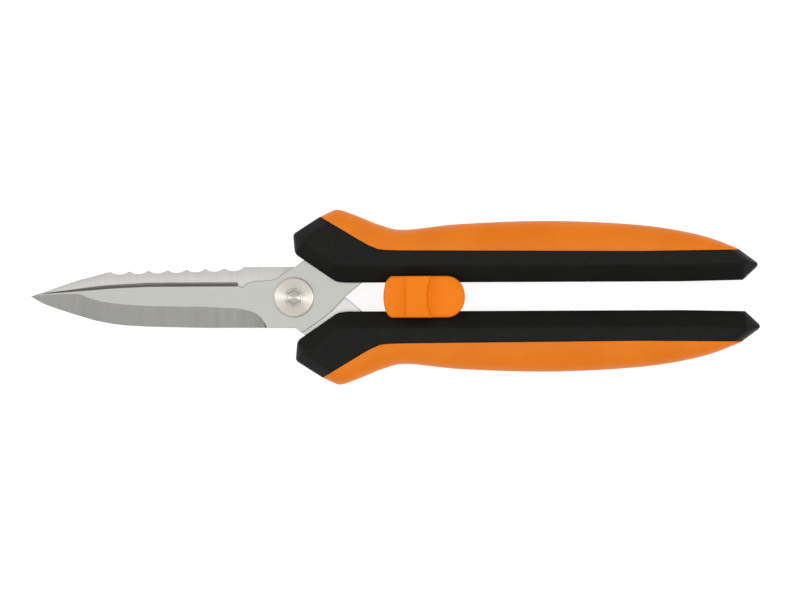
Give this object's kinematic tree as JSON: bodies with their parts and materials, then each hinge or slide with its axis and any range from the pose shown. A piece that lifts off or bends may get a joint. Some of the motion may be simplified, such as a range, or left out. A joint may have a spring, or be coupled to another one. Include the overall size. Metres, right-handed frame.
{
  "type": "floral snips",
  "caption": "Garden snips with crossing knife and saw-backed blades, soft-grip handles, a hidden return spring and a sliding handle latch.",
  "frame": {"origin": "on the pivot bolt's axis, midway between the two blades", "axes": "+X from the pivot along the handles, +Y towards the upper handle, +Z towards the bolt head and the thumb side of the latch"},
  "size_m": [0.211, 0.0506, 0.0168],
  "materials": {
    "blade_steel": "fine ground stainless steel",
    "bolt_steel": "turned, bright nickel",
    "spring_steel": "drawn wire",
    "washer_plastic": "natural acetal",
    "orange_plastic": "satin moulded plastic",
    "black_grip": "fine textured soft-touch elastomer",
    "latch_plastic": "smooth moulded plastic"
  },
  "bodies": {
    "lower_half": {"rear_blade": "blade_steel", "pivot_bolt": "bolt_steel", "bearing_washer": "washer_plastic", "spring_washer": "spring_steel", "pivot_nut": "bolt_steel", "lower_handle_core": "orange_plastic", "lower_handle_grip": "black_grip", "return_spring": "spring_steel"},
    "upper_half": {"front_blade": "blade_steel", "upper_handle_core": "orange_plastic", "upper_handle_grip": "black_grip"},
    "latch": {"latch_button": "latch_plastic", "latch_keeper": "latch_plastic", "latch_screw": "bolt_steel"}
  },
  "joints": [
    {"name": "handles_open", "type": "hinge", "parent": "lower_half", "child": "upper_half", "pos_m": [0, 0, 0], "axis": [0, 0, 1], "range_deg": [0, 28], "stiffness_Nm_per_rad": 0.6, "springref_deg": 31.51, "deforming": ["return_spring"]},
    {"name": "latch_slide", "type": "slide", "parent": "lower_half", "child": "latch", "axis": [1, 0, 0], "range_m": [0, 0.006]}
  ]
}
